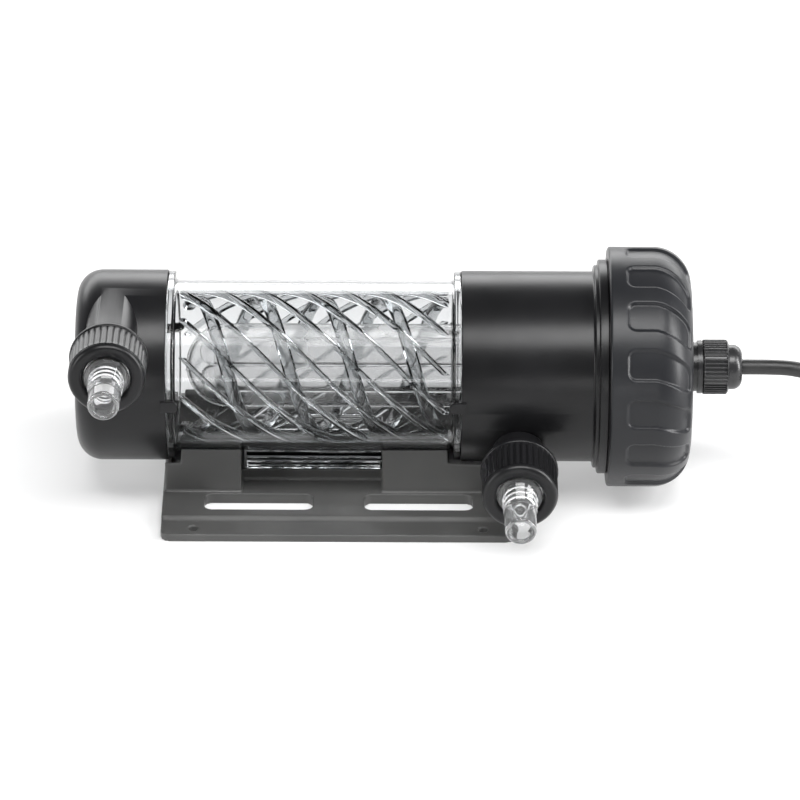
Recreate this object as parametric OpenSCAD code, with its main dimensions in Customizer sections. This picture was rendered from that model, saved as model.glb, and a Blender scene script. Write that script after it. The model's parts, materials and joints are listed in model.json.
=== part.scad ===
// UV clarifier: clear spiral-ribbed chamber between two end housings, on a slotted bracket.
// Millimetres. The origin is the middle of the bracket's four screw holes, on its bottom face.
// X runs along the tube towards the cable end, the hoses point to -Y, and Z is up.

/* [Chamber] */
// Height of the tube's axis above the surface
axis_z = 52; // [51:1:80]
// Length of the clear tube between its flanges
tube_len = 116.5; // [100:0.5:200]
// Middle of the clear tube, measured from the middle of the bracket
tube_mid_x = -10.3; // [-15:0.1:-5]
// Outer radius of the clear tube
tube_r = 36; // [34:0.5:37]
// Wall of the clear tube
tube_wall = 3; // [2:0.5:4]
// Thickness of the clear flanges
flange_t = 3.2; // [2:0.1:5]
// Outer radius of the end housings
shell_r = 40; // [40:0.5:44]
// Radial depth of the spiral ribs
rib_depth = 6.6; // [3:0.1:8]
// Lead of the long ribs per turn
long_lead = 206; // [150:1:400]
// Number of long ribs
long_ribs_n = 12; // [4:1:14]
// Lead of the short ribs per turn
short_lead = 52.4; // [40:0.2:120]
// Number of short ribs
short_ribs_n = 2; // [1:1:4]

/* [End housings] */
// Length of the inlet cap
cap_len = 38; // [36:0.5:60]
// Rounding of the inlet cap's closed end
cap_round = 10.5; // [6:0.5:14]
// Wall of the end housings
shell_wall = 5.5; // [4.5:0.5:6]
// Length of the outlet housing up to its thread
outlet_len = 61; // [58:0.5:90]
// Radius of the outlet housing's rim
rim_r = 45; // [44.5:0.5:47]
// Outer radius of the thread's core on the outlet housing
neck_r = 43.4; // [43:0.1:44]
// Length of the outlet housing's threaded neck
neck_len = 18; // [16:0.5:20]

/* [Hose connections] */
// Distance of the inlet from the chamber end of its cap
inlet_back = 22.2; // [18:0.1:24]
// Distance of the outlet from the chamber end of its housing
outlet_back = 24; // [18:0.1:26]
// Offset of the inlet's axis above the tube's axis
inlet_off = 28.5; // [20:0.1:29]
// Offset of the outlet's axis above the tube's axis
outlet_off = -17.6; // [-18:0.1:-10]
// Upward tilt of the inlet and downward tilt of the outlet, degrees
port_tilt = 3.5; // [0:0.5:6]
// Outer radius of the spigots
spigot_r = 10.7; // [10:0.1:11]
// Bore radius of the spigots
spigot_bore_r = 7.5; // [6:0.1:8]
// Reach of the spigots from the tube's axis
spigot_reach = 64; // [62:0.5:80]
// Outer radius of the union nuts
nut_r = 15.8; // [15:0.1:18]
// Length of the union nuts
nut_len = 20.5; // [18:0.5:24]
// Outer radius of the hose tails at their root
tail_r = 7.4; // [6.5:0.1:8]
// Bore radius of the hose tails
tail_bore_r = 4.4; // [3:0.1:5]
// Length of the hose tails beyond the nut
tail_len = 24; // [20:0.5:40]

/* [Locking ring] */
// Outer radius of the locking ring
ring_r = 50.4; // [50:0.1:51]
// Length of the locking ring
ring_len = 34.7; // [34.5:0.1:36]
// Rounding of the locking ring's shoulder
ring_round = 14; // [12:0.5:15]
// Number of grip pads
ring_pads = 15; // [6:1:24]
// Depth of the grip pads
pad_depth = 1.2; // [0.4:0.1:1.5]

/* [Bracket] */
// Length of the bracket
plate_len = 148; // [146:1:200]
// Depth of the bracket, front to back
plate_depth = 115.2; // [110:0.2:150]
// Thickness of the bracket plate
plate_t = 3.3; // [2:0.1:4]
// Spacing of the screw holes along the tube
screw_x = 121; // [100:1:130]
// Spacing of the screw holes across the tube
screw_y = 104.6; // [100:0.2:108]
// Radius of the screw holes
screw_r = 2; // [1.5:0.1:3]
// Length of the strap slots
slot_len = 45.6; // [30:0.2:50]
// Width of the strap slots
slot_w = 12.4; // [8:0.2:14]

/* [Lamp] */
// Outer radius of the quartz sleeve
sleeve_r = 17.5; // [16:0.5:18]
// Wall of the quartz sleeve
sleeve_wall = 1.5; // [1:0.1:2]
// Radius of each lamp tube
lamp_r = 6; // [5:0.1:6.2]
// Spacing of the two lamp tubes
lamp_pitch = 12.8; // [12.8:0.1:14]

/* [Cable] */
// Diameter of the mains cable
cable_d = 6.5; // [6:0.1:7]
// Turns of the stored coil in one layer
coil_columns = 3; // [3:1:3]
// Layers of the stored coil
coil_layers = 2; // [2:1:2]

/* [Hidden] */
$fn = 64;

// Clearance between pieces that come apart, and between pieces that stay together
gap = 0.3;
snug = 0.05;
// Overrun of a cutter past the face it cuts
cut = 1;

// Stations along the tube
tube_x0 = tube_mid_x - tube_len / 2;
tube_x1 = tube_mid_x + tube_len / 2;
cap_face_x = tube_x0 - flange_t;
housing_face_x = tube_x1 + flange_t;
cap_end_x = cap_face_x - cap_len;
neck_x = housing_face_x + outlet_len;
neck_end_x = neck_x + neck_len;
inlet_x = cap_face_x - inlet_back;
outlet_x = housing_face_x + outlet_back;

// Chamber
tube_bore_r = tube_r - tube_wall;
flange_r = shell_r - 0.4;
shell_bore_r = shell_r - shell_wall;
rib_w = 1.8;
rib_out_r = tube_bore_r - gap;
rib_in_r = rib_out_r - rib_depth;
rib_mid_r = (rib_in_r + rib_out_r) / 2;
rib_end = 1.6;
long_rib_top_x = tube_x0 + 5.95;
short_rib_top_x = tube_x0 + 12.55;

// Rail under the chamber and the seat for it on the bracket
rail_half_w = 14.7;
rail_x0 = tube_mid_x - 28.6;
rail_x1 = tube_mid_x + 28.1;
rail_z = 9.8;
rail_groove = 1;
tongue_half_w = 5;
tongue_h = 3;

// Face seals of the clear housing
seal_r = 1.15;
seal_mid_r = (shell_bore_r + shell_r) / 2;

// Snap tabs over the clear flanges
tab_w = 4.9;
tab_root = 2;
tab_hook = 1.9;
tab_r = shell_r + 1.2;
tab_angles = [3.5, 183.5];

// Thread ridges on the neck and on the spigots
ridge_h = 0.9;
ridge_w = 1.6;
ridge_pitch = 4;
neck_ridges = 4;
rim_t = 3.8;
rim_step = 1.8;
thread_gap = 0.4;

// Bulkhead that carries the quartz sleeve
bulkhead_x = neck_x - 20;
bulkhead_t = 3.5;
boss_end_x = bulkhead_x + bulkhead_t + 7;
sleeve_seal_r = 1.45;
boss_r = sleeve_r + 2 * sleeve_seal_r + 3.6;
sleeve_seal_depth = 4.5;
sleeve_nut_r = boss_r + ridge_h + thread_gap + 3.2;
sleeve_mouth_x = boss_end_x + 3;
sleeve_tip_x = tube_x0 + 4;

// End cover
cover_flange_t = 3;
cover_flange_r = neck_r - 0.8;
cover_x0 = neck_end_x + gap;
cover_cup_r = 36.5;
cover_wall = 3;
cover_boss_r = 26;
ring_x0 = neck_x + gap;
ring_x1 = ring_x0 + ring_len;
cover_face_x = ring_x1;
cover_shelf_x = cover_face_x - 5;
cover_floor_x = cover_shelf_x - 2.6;
cover_hole_r = 8.1;

// Locking ring
ring_bore_r = neck_r + ridge_h + thread_gap;
ring_step_x = cover_x0 + cover_flange_t + gap;
ring_cavity_r = 40.5;
ring_mouth_r = cover_boss_r + 0.5;
ring_wall_x = cover_shelf_x + gap;
ring_arc_x = ring_x1 - 15.4;
pad_w = 12.7;
pad_inset = 1.5;
pad_x0 = ring_x0 + 6;

// Hose connections, measured along each spigot from the tube's axis
nut_s0 = spigot_reach - 11.5;
nut_s1 = nut_s0 + nut_len;
washer_s = spigot_reach + snug;
washer_t = 1.5;
tail_flange_s = washer_s + washer_t + gap;
tail_flange_t = 3;
nut_shoulder_s = tail_flange_s + tail_flange_t + gap;
spigot_thread_r = spigot_r + 1.5;
nut_bore_r = spigot_thread_r + thread_gap;
nut_mouth_r = 9.9;
tail_flange_r = nut_bore_r - gap;
tail_hub_r = 9.3;
tail_end_s = nut_s1 + tail_len;
barbs = 4;
barb_rise = 0.5;

// Cable gland
gland_x = cover_face_x;
gland_thread_r = 8;
gland_neck_r = 10.3;
gland_hex_r = 11.2;
gland_nut_r = 11.5;
gland_hex_x0 = gland_x + 3.4;
gland_nut_x0 = gland_x + 5.6;
gland_nut_x1 = gland_nut_x0 + 10.8;
gland_tip_x = gland_nut_x1 + 5.8;
gland_tip_r = 9.4;
gland_sleeve_r = 8.6;
insert_x0 = gland_nut_x0 + 2;
insert_x1 = gland_nut_x1 + 2.6;
insert_r = 6;
locknut_t = 3;
cable_r = cable_d / 2;

// Lamp and its socket
lamp_tip_x = sleeve_tip_x + 6;
lamp_base_x0 = sleeve_mouth_x + 2.4;
lamp_base_x1 = lamp_base_x0 + 14;
lamp_base_w = 18;
lamp_base_h = 30;
lamp_glass = 1;
socket_x1 = cover_floor_x - 8.4;
socket_ear_t = 3;
socket_h = 34;
socket_post_z = 20.5;
socket_post_r = 3.2;
pin_r = 1.1;
pin_z = 6;

// Ballast board
board_x0 = lamp_base_x0 + 1;
board_y = 25.5;
board_t = 1.6;
board_half_w = 17;

// Cable route: points of the free stretch, then the coil's middle
cable_route = [[152, 0, 52], [160, 0, 52], [170, 0, 52], [180, 0, 52], [188, 0, 51.8], [195, 0, 50.6],
    [201, 0, 48], [206, 0, 44.4], [210, 0, 40], [213, 0, 35], [215, 0, 29.5], [217, 0, 24],
    [219, 0, 18.8], [222, 0, 13.6], [226, 0, 9.3], [231, 0, 6], [237, 0, 4.1], [244, 0, 3.3],
    [252, 0, 3.25], [260, 0, 3.25]];
coil_mid_r = 35.75;
coil_x = 260;
coil_y = 42.25;
coil_in_r = coil_mid_r - coil_columns * cable_d / 2;
coil_out_r = coil_mid_r + coil_columns * cable_d / 2;
coil_h = coil_layers * cable_d;

// Helpers: solids turned about the tube's axis, from outlines given as [radius, x]
module turned_x() {
    translate([0, 0, axis_z]) rotate([0, 90, 0]) rotate_extrude() children();
}
module disc_x(x0, x1, r) {
    translate([x0, 0, axis_z]) rotate([0, 90, 0]) cylinder(h = x1 - x0, r = r);
}
module tube_x(x0, x1, r, bore) {
    difference() {
        disc_x(x0, x1, r);
        disc_x(x0 - cut, x1 + cut, bore);
    }
}
module torus_x(x, mid, r) {
    turned_x() translate([mid, x]) circle(r = r, $fn = 32);
}
module tube_z(z0, z1, r, bore) {
    difference() {
        translate([0, 0, z0]) cylinder(h = z1 - z0, r = r);
        translate([0, 0, z0 - cut]) cylinder(h = z1 - z0 + 2 * cut, r = bore);
    }
}
// Annular thread ridge with sloped flanks, as an outline
module ridge_2d(x, r, h, w) {
    polygon([[r - snug, x], [r + h, x + w / 3], [r + h, x + 2 * w / 3], [r - snug, x + w]]);
}
// Arc points from angle a0 to a1
function arc(cx, cy, r, a0, a1, n = 8) =
    [for (i = [0 : n]) [cx + r * cos(a0 + (a1 - a0) * i / n), cy + r * sin(a0 + (a1 - a0) * i / n)]];

// A twisted four-sided face as two triangles
function split_quad(a, b, c, d) = [[a, b, c], [a, c, d]];

// Round tube swept along points, by rings turned into the bisecting plane at each point
function unit(v) = v / norm(v);
function heading(p, i) = unit(p[min(i + 1, len(p) - 1)] - p[max(i - 1, 0)]);
function side(t) = abs(t[1]) > 0.9 ? unit(cross(t, [1, 0, 0])) : unit(cross(t, [0, 1, 0]));
function ring_points(p, i, r, n) =
    let (t = heading(p, i), u = side(t), v = cross(t, u))
    [for (k = [0 : n - 1]) p[i] + r * cos(360 * k / n) * u + r * sin(360 * k / n) * v];
module swept(p, r, n) {
    last = len(p) - 1;
    polyhedron(
        points = [for (i = [0 : last]) each ring_points(p, i, r, n)],
        faces = concat(
            [[for (k = [0 : n - 1]) k]],
            [[for (k = [n - 1 : -1 : 0]) last * n + k]],
            [for (i = [0 : last - 1], k = [0 : n - 1])
                [i * n + k, (i + 1) * n + k, (i + 1) * n + (k + 1) % n, i * n + (k + 1) % n]]));
}

// Frame of a hose connection: Z points out along the spigot, measured from the tube's axis
module port_frame(x, off, tilt) {
    translate([x, 0, axis_z]) rotate([90 - tilt, 0, 0]) translate([0, off, 0]) children();
}
module at_inlet() {
    port_frame(inlet_x, inlet_off, port_tilt) children();
}
module at_outlet() {
    port_frame(outlet_x, outlet_off, -port_tilt) children();
}

// Bracket: folded plate with strap slots, saddle walls and a seat for the rail
module rounded_plate(lx, ly, r, h) {
    cube_x = lx - 2 * r;
    cube_y = ly - 2 * r;
    translate([-cube_x / 2, -ly / 2, 0]) cube([cube_x, ly, h]);
    translate([-lx / 2, -cube_y / 2, 0]) cube([lx, cube_y, h]);
    for (sx = [-1, 1], sy = [-1, 1]) {
        translate([sx * cube_x / 2, sy * cube_y / 2, 0]) cylinder(h = h, r = r);
    }
}
plate_corner = 4;
band_half_y = 46.6;
band_rise = 1.4;
band_ramp = 2.4;
wall_y = 24.8;
wall_t = 2.5;
wall_drop = 26;
wall_top_z = axis_z - wall_drop;
wall_inset = 1;
slot_x = 33.6;
slot_y = wall_y + 1.8 + slot_w / 2;
slot_corner = 3.6;
wall_ends = [[wall_inset - plate_len / 2, rail_x0 - 2.1], [rail_x1 + 0.4, plate_len / 2 - wall_inset]];
module slots() {
    for (sx = [-1, 1], sy = [-1, 1]) {
        translate([sx * slot_x, sy * slot_y, -cut]) rounded_plate(slot_len, slot_w, slot_corner, 12);
    }
}
module screw_holes() {
    for (sx = [-1, 1], sy = [-1, 1]) {
        translate([sx * screw_x / 2, sy * screw_y / 2, -cut]) cylinder(h = 12, r = screw_r);
    }
}
module raised_band() {
    top = plate_t + band_rise;
    translate([-plate_len / 2, 0, 0]) rotate([90, 0, 90]) linear_extrude(plate_len)
        polygon([[-band_half_y, plate_t - 1], [-band_half_y, plate_t], [-band_half_y + band_ramp, top],
            [band_half_y - band_ramp, top], [band_half_y, plate_t], [band_half_y, plate_t - 1]]);
}
module saddle(x0, x1) {
    for (sy = [-1, 1]) {
        translate([x0, sy * (wall_y - wall_t / 2) - wall_t / 2, plate_t])
            cube([x1 - x0, wall_t, wall_top_z - plate_t]);
    }
    for (x = [x0, x1 - wall_t]) {
        translate([x, -wall_y, plate_t]) cube([wall_t, 2 * wall_y, wall_top_z - plate_t]);
    }
}
module mounting_bracket() {
    color([0.12, 0.12, 0.13]) difference() {
        union() {
            rounded_plate(plate_len, plate_depth, plate_corner, plate_t);
            raised_band();
            for (w = wall_ends) saddle(w[0], w[1]);
            translate([wall_ends[0][1] - cut, -rail_half_w, plate_t])
                cube([wall_ends[1][0] - wall_ends[0][1] + 2 * cut, 2 * rail_half_w,
                    rail_z - plate_t - snug]);
            translate([rail_x0 + gap, -tongue_half_w, plate_t])
                cube([rail_x1 - rail_x0 - 2 * gap, 2 * tongue_half_w, rail_z + tongue_h - plate_t]);
        }
        slots();
        screw_holes();
        disc_x(wall_ends[0][0] - cut, wall_ends[1][1] + cut, tube_r + gap);
        disc_x(wall_ends[0][0] - cut, tube_x0 + tab_hook + gap, tab_r + gap);
        disc_x(tube_x1 - tab_hook - gap, wall_ends[1][1] + cut, tab_r + gap);
    }
}

// Clear housing: tube, two flanges and the grooved rail underneath
module clear_housing() {
    color([0.85, 0.88, 0.9, 0.35]) difference() {
        union() {
            disc_x(tube_x0, tube_x1, tube_r);
            disc_x(cap_face_x, tube_x0, flange_r);
            disc_x(tube_x1, housing_face_x, flange_r);
            translate([rail_x0, -rail_half_w, rail_z])
                cube([rail_x1 - rail_x0, 2 * rail_half_w, axis_z - tube_r + 4 - rail_z]);
        }
        disc_x(cap_face_x - cut, housing_face_x + cut, tube_bore_r);
        translate([rail_x0 - cut, -tongue_half_w - gap, rail_z - cut])
            cube([rail_x1 - rail_x0 + 2 * cut, 2 * (tongue_half_w + gap), tongue_h + gap + cut]);
        for (sy = [-1, 1], i = [0 : 2]) {
            translate([rail_x0 - cut, sy * rail_half_w - rail_groove, rail_z + 1.4 + i * 2])
                cube([rail_x1 - rail_x0 + 2 * cut, 2 * rail_groove, 0.8]);
        }
    }
}

// Spiral ribs inside the clear tube: long ones on its wall, short ones crossing inside them
function rib_angle(x, top_x, lead) = 90 + 360 * (x - top_x) / lead;
function rib_ring(x, top_x, lead, wx, r0, r1) =
    let (a = rib_angle(x, top_x, lead))
    [for (c = [[-wx, r0], [wx, r0], [wx, r1], [-wx, r1]])
        [x + c[0], c[1] * cos(a), axis_z + c[1] * sin(a)]];
module spiral_rib(top_x, lead, steps, r0, r1) {
    round_len = 2 * PI * r1;
    wx = rib_w / 2 * sqrt(lead * lead + round_len * round_len) / round_len;
    x0 = tube_x0 + rib_end + wx;
    x1 = tube_x1 - rib_end - wx;
    polyhedron(
        points = [for (i = [0 : steps]) each rib_ring(x0 + (x1 - x0) * i / steps, top_x, lead, wx, r0, r1)],
        faces = concat(
            [[0, 1, 2, 3]],
            [[3, 2, 1, 0] + [for (k = [0 : 3]) steps * 4]],
            [for (i = [0 : steps - 1], k = [0 : 3]) each split_quad(
                i * 4 + k, (i + 1) * 4 + k, (i + 1) * 4 + (k + 1) % 4, i * 4 + (k + 1) % 4)]));
}
module long_ribs() {
    color([0.9, 0.92, 0.94, 0.4]) for (i = [0 : long_ribs_n - 1]) {
        spiral_rib(long_rib_top_x + i * long_lead / long_ribs_n, long_lead, 12,
            rib_mid_r + gap / 2, rib_out_r);
    }
}
module short_ribs() {
    color([0.9, 0.92, 0.94, 0.4]) for (i = [0 : short_ribs_n - 1]) {
        spiral_rib(short_rib_top_x + i * short_lead / short_ribs_n, short_lead, 36,
            rib_in_r, rib_mid_r - gap);
    }
}

// Snap tab of an end housing, reaching over a flange: face is the joint plane, dir points at the tube
module snap_tab(face, dir, angle) {
    len = flange_t + tab_hook;
    translate([face, 0, axis_z]) rotate([-angle, 0, 0]) rotate([90, 0, 0]) mirror([dir < 0 ? 1 : 0, 0, 0]) {
        translate([0, 0, flange_r + snug]) linear_extrude(tab_r - flange_r - snug) tab_2d(-tab_root, len);
        translate([0, 0, tube_r + 1.2]) linear_extrude(tab_r - tube_r - 1.2) intersection() {
            tab_2d(-tab_root, len);
            translate([flange_t + snug, -tab_w]) square([tab_hook, 2 * tab_w]);
        }
    }
}
module tab_2d(x0, x1) {
    translate([x0, -tab_w / 2]) square([x1 - x0 - tab_w / 2, tab_w]);
    translate([x1 - tab_w / 2, 0]) circle(d = tab_w);
}
module seal_groove(face, dir) {
    turned_x() translate([seal_mid_r - seal_r - snug, dir > 0 ? face - 2 * seal_r : face - cut])
        square([2 * (seal_r + snug), 2 * seal_r + cut]);
}
module spigot() {
    cylinder(h = spigot_reach, r = spigot_r);
    rotate_extrude() for (i = [0 : 2]) ridge_2d(nut_s0 + 2 + i * 3, spigot_r, 1.5, ridge_w);
}
module spigot_bore() {
    cylinder(h = spigot_reach + cut, r = spigot_bore_r);
}

module inlet_end_cap() {
    end_flat = shell_r - cap_round;
    cavity_x = cap_end_x + 4.5;
    color([0.1, 0.1, 0.11]) difference() {
        union() {
            turned_x() polygon(concat([[0, cap_end_x]],
                arc(end_flat, cap_end_x + cap_round, cap_round, -90, 0),
                [[shell_r, cap_face_x], [0, cap_face_x]]));
            at_inlet() spigot();
        }
        turned_x() polygon([[0, cavity_x], [shell_bore_r - 7, cavity_x], [shell_bore_r, cavity_x + 7],
            [shell_bore_r, cap_face_x + cut], [0, cap_face_x + cut]]);
        at_inlet() spigot_bore();
        seal_groove(cap_face_x, 1);
    }
    color([0.1, 0.1, 0.11]) for (a = tab_angles) snap_tab(cap_face_x, 1, a);
}
module inlet_cap_seal() {
    color([0.2, 0.2, 0.2]) torus_x(cap_face_x - seal_r - snug / 2, seal_mid_r, seal_r - snug / 2);
}

// Outlet housing: wet part, bulkhead with the sleeve's gland boss, and threaded neck
module outlet_housing() {
    color([0.1, 0.1, 0.11]) difference() {
        union() {
            disc_x(housing_face_x, neck_x, shell_r);
            disc_x(neck_x - rim_t - rim_step, neck_x, rim_r - 2.4);
            disc_x(neck_x - rim_t, neck_x, rim_r);
            disc_x(neck_x - cut, neck_end_x, neck_r);
            turned_x() for (i = [0 : neck_ridges - 1]) {
                ridge_2d(neck_x + 2 + i * ridge_pitch, neck_r, ridge_h, ridge_w);
            }
            at_outlet() spigot();
        }
        disc_x(housing_face_x - cut, bulkhead_x, shell_bore_r);
        difference() {
            disc_x(bulkhead_x + bulkhead_t, neck_end_x + cut, shell_bore_r + 1);
            disc_x(bulkhead_x, boss_end_x, boss_r);
            turned_x() for (i = [0 : 1]) ridge_2d(boss_end_x - 4.5 + i * 2.2, boss_r, ridge_h, 1.4);
        }
        disc_x(bulkhead_x - cut, boss_end_x + cut, sleeve_r + gap);
        disc_x(boss_end_x - sleeve_seal_depth, boss_end_x + cut, sleeve_r + 2 * sleeve_seal_r + 2 * snug);
        at_outlet() intersection() {
            spigot_bore();
            translate([-20, -20, 0]) cube([40, 40, spigot_reach + cut]);
        }
        seal_groove(housing_face_x, -1);
        turned_x() translate([neck_r - 4.9, neck_end_x - 2.6]) square([3.2, 3]);
    }
    color([0.1, 0.1, 0.11]) for (a = tab_angles) snap_tab(housing_face_x, -1, a);
}
module outlet_housing_seal() {
    color([0.2, 0.2, 0.2]) torus_x(housing_face_x + seal_r + snug / 2, seal_mid_r, seal_r - snug / 2);
}
module main_seal() {
    color([0.2, 0.2, 0.2]) torus_x(neck_end_x - 1.15, neck_r - 3.3, 1.35);
}

// Quartz sleeve with its O-ring and its clamping nut
module quartz_sleeve() {
    dome_x = sleeve_tip_x + sleeve_r;
    in_r = sleeve_r - sleeve_wall;
    color([0.9, 0.93, 1, 0.3]) difference() {
        union() {
            disc_x(dome_x, sleeve_mouth_x, sleeve_r);
            translate([dome_x, 0, axis_z]) sphere(r = sleeve_r);
        }
        disc_x(dome_x, sleeve_mouth_x + cut, in_r);
        translate([dome_x, 0, axis_z]) sphere(r = in_r);
    }
}
module sleeve_seal() {
    color([0.2, 0.2, 0.2])
        torus_x(boss_end_x - sleeve_seal_depth + sleeve_seal_r + snug,
            sleeve_r + sleeve_seal_r + snug, sleeve_seal_r);
}
module sleeve_nut() {
    x0 = boss_end_x - 5;
    x1 = boss_end_x + 4;
    inner_r = boss_r + ridge_h + gap;
    collar_r = sleeve_r + 2 * sleeve_seal_r - gap;
    color([0.15, 0.15, 0.16]) turned_x() polygon([[inner_r, x0], [sleeve_nut_r, x0], [sleeve_nut_r, x1 - 1],
        [sleeve_nut_r - 1, x1], [sleeve_r + gap, x1], [sleeve_r + gap, boss_end_x - 1.2],
        [collar_r, boss_end_x - 1.2], [collar_r, boss_end_x + gap], [inner_r, boss_end_x + gap]]);
}

// Locking ring with grip pads sunk into its shoulder
module locking_ring() {
    start = ring_r - 1;
    color([0.11, 0.12, 0.13]) difference() {
        turned_x() polygon(concat(
            [[ring_bore_r, ring_x0], [start, ring_x0], [ring_r, ring_x0 + 1], [ring_r, ring_arc_x]],
            [for (p = arc(ring_r - ring_round, ring_arc_x, ring_round, 4, 84, 10)) p],
            [[ring_mouth_r, ring_x1], [ring_mouth_r, ring_wall_x], [ring_cavity_r - 4, ring_wall_x],
            [ring_cavity_r, ring_wall_x - 4], [ring_cavity_r, ring_step_x], [ring_bore_r, ring_step_x]]));
        for (i = [0 : ring_pads - 1]) {
            translate([0, 0, axis_z]) rotate([i * 360 / ring_pads, 0, 0])
                translate([pad_x0, -ring_r - cut, -pad_w / 2])
                cube([ring_arc_x - pad_inset - pad_x0, pad_depth + cut + pad_w * pad_w / 8 / ring_r, pad_w]);
        }
    }
}

// End cover: flange under the ring, cup that holds the electrics, boss with the gland's hole
module end_cover() {
    color([0.1, 0.1, 0.11]) difference() {
        union() {
            disc_x(cover_x0, cover_x0 + cover_flange_t, cover_flange_r);
            disc_x(cover_x0, cover_shelf_x, cover_cup_r - 0.5);
            disc_x(cover_floor_x, cover_face_x, cover_boss_r);
        }
        disc_x(cover_x0 - cut, cover_floor_x, cover_cup_r - cover_wall);
        disc_x(cover_floor_x - cut, cover_face_x + cut, cover_hole_r);
    }
    color([0.1, 0.1, 0.11]) for (sz = [-1, 1]) difference() {
        translate([0, 0, sz * socket_post_z]) disc_x(socket_x1, cover_floor_x + cut, socket_post_r);
        translate([0, 0, sz * socket_post_z]) disc_x(socket_x1 - cut, socket_x1 + 6.5, 1.5);
    }
}

// Hose tail, union nut and washer, drawn along their own spigot
module hose_tail() {
    hub_s = tail_flange_s + tail_flange_t;
    barb_s0 = nut_s1 + 4;
    barb_len = (tail_end_s - barb_s0) / barbs;
    color([0.86, 0.88, 0.9, 0.4]) difference() {
        rotate_extrude() polygon(concat(
            [[0, tail_flange_s], [tail_flange_r, tail_flange_s], [tail_flange_r, hub_s], [tail_hub_r, hub_s],
            [tail_hub_r, nut_s1 - 1], [tail_r, nut_s1 - 1], [tail_r, barb_s0]],
            [for (i = [0 : barbs - 1], q = [0, 1])
                [tail_r - 0.2 * i - q * 2 * barb_rise, barb_s0 + (i + q) * barb_len]],
            [[0, tail_end_s]]));
        translate([0, 0, tail_flange_s - cut])
            cylinder(h = tail_end_s - tail_flange_s + 2 * cut, r = tail_bore_r);
    }
}
module union_nut() {
    rear = nut_s0;
    color([0.1, 0.1, 0.11]) rotate_extrude() polygon(concat(
        [[nut_bore_r, rear], [nut_r + 0.4, rear], [nut_r + 0.4, rear + 1.8], [nut_r, rear + 2.2],
        [nut_r, nut_s1 - 3]],
        arc(nut_r - 2.4, nut_s1 - 2.4, 2.4, 14, 90, 5),
        [[nut_mouth_r, nut_s1], [nut_mouth_r, nut_shoulder_s], [nut_bore_r, nut_shoulder_s]]));
}
module washer() {
    color([0.25, 0.25, 0.25]) tube_z(washer_s, washer_s + washer_t, spigot_r + 0.3, spigot_bore_r);
}
module inlet_hose_tail() {
    at_inlet() hose_tail();
}
module inlet_union_nut() {
    at_inlet() union_nut();
}
module inlet_seal() {
    at_inlet() washer();
}
module outlet_hose_tail() {
    at_outlet() hose_tail();
}
module outlet_union_nut() {
    at_outlet() union_nut();
}
module outlet_seal() {
    at_outlet() washer();
}

// Cable gland
module gland_body() {
    color([0.1, 0.1, 0.11]) difference() {
        union() {
            disc_x(cover_floor_x - locknut_t - 1.5, gland_x + cut, gland_thread_r);
            disc_x(gland_x, gland_hex_x0, gland_neck_r);
            disc_x(gland_hex_x0 - snug, gland_nut_x0 - gap, gland_hex_r);
            disc_x(gland_hex_x0, insert_x0, gland_sleeve_r);
        }
        disc_x(cover_floor_x - locknut_t - 3, insert_x0 + cut, cable_r + gap);
    }
}
module gland_locknut() {
    color([0.15, 0.15, 0.16]) tube_x(cover_floor_x - locknut_t, cover_floor_x, 12, gland_thread_r);
}
module gland_insert() {
    color([0.2, 0.2, 0.2]) tube_x(insert_x0, insert_x1, insert_r, cable_r + 0.02);
}
module gland_nut() {
    dome_bore_r = cable_r + 1;
    color([0.1, 0.1, 0.11]) turned_x() polygon(concat(
        [[gland_sleeve_r + gap, gland_nut_x0], [gland_nut_r, gland_nut_x0], [gland_nut_r, gland_nut_x1]],
        arc(gland_tip_r - 3.6, gland_tip_x - 3.6, 3.6, 0, 90, 6),
        [[dome_bore_r, gland_tip_x], [dome_bore_r, insert_x1 + gap], [gland_sleeve_r + gap, insert_x1 + gap]]));
}

// Lamp, socket and ballast
module uv_lamp_tubes() {
    color([0.93, 0.95, 1, 0.5]) difference() {
        union() {
            for (sz = [-1, 1]) translate([0, 0, sz * lamp_pitch / 2]) {
                disc_x(lamp_tip_x + lamp_r, lamp_base_x0, lamp_r);
                translate([lamp_tip_x + lamp_r, 0, axis_z]) sphere(r = lamp_r);
            }
            translate([lamp_tip_x + lamp_r + 4, 0, axis_z - lamp_pitch / 2])
                cylinder(h = lamp_pitch, r = 2.2);
        }
        for (sz = [-1, 1]) translate([0, 0, sz * lamp_pitch / 2]) {
            disc_x(lamp_tip_x + lamp_r, lamp_base_x0 + cut, lamp_r - lamp_glass);
        }
    }
}
module uv_lamp_base() {
    color([0.85, 0.85, 0.83]) {
        translate([lamp_base_x0, -lamp_base_w / 2, axis_z - lamp_base_h / 2 + 1])
            cube([lamp_base_x1 - lamp_base_x0, lamp_base_w, lamp_base_h - 2]);
    }
}
module lamp_pins() {
    color([0.75, 0.76, 0.78]) for (sz = [-1, 1]) {
        translate([0, 0, sz * pin_z]) disc_x(lamp_base_x1, lamp_base_x1 + 6, pin_r);
    }
}
module lamp_socket() {
    x0 = lamp_base_x1 + gap;
    color([0.8, 0.8, 0.78]) difference() {
        union() {
            translate([x0, -lamp_base_w / 2, axis_z - socket_h / 2 + 2])
                cube([socket_x1 - x0, lamp_base_w, socket_h - 4]);
            translate([socket_x1 - socket_ear_t, -5, axis_z - socket_post_z - 4])
                cube([socket_ear_t, 10, 2 * socket_post_z + 8]);
        }
        for (sz = [-1, 1]) {
            translate([0, 0, sz * pin_z]) disc_x(x0 - cut, x0 + 7.5, pin_r + snug);
            translate([0, 0, sz * socket_post_z]) disc_x(x0 - cut, socket_x1 + cut, 1.7);
        }
    }
}
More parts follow.
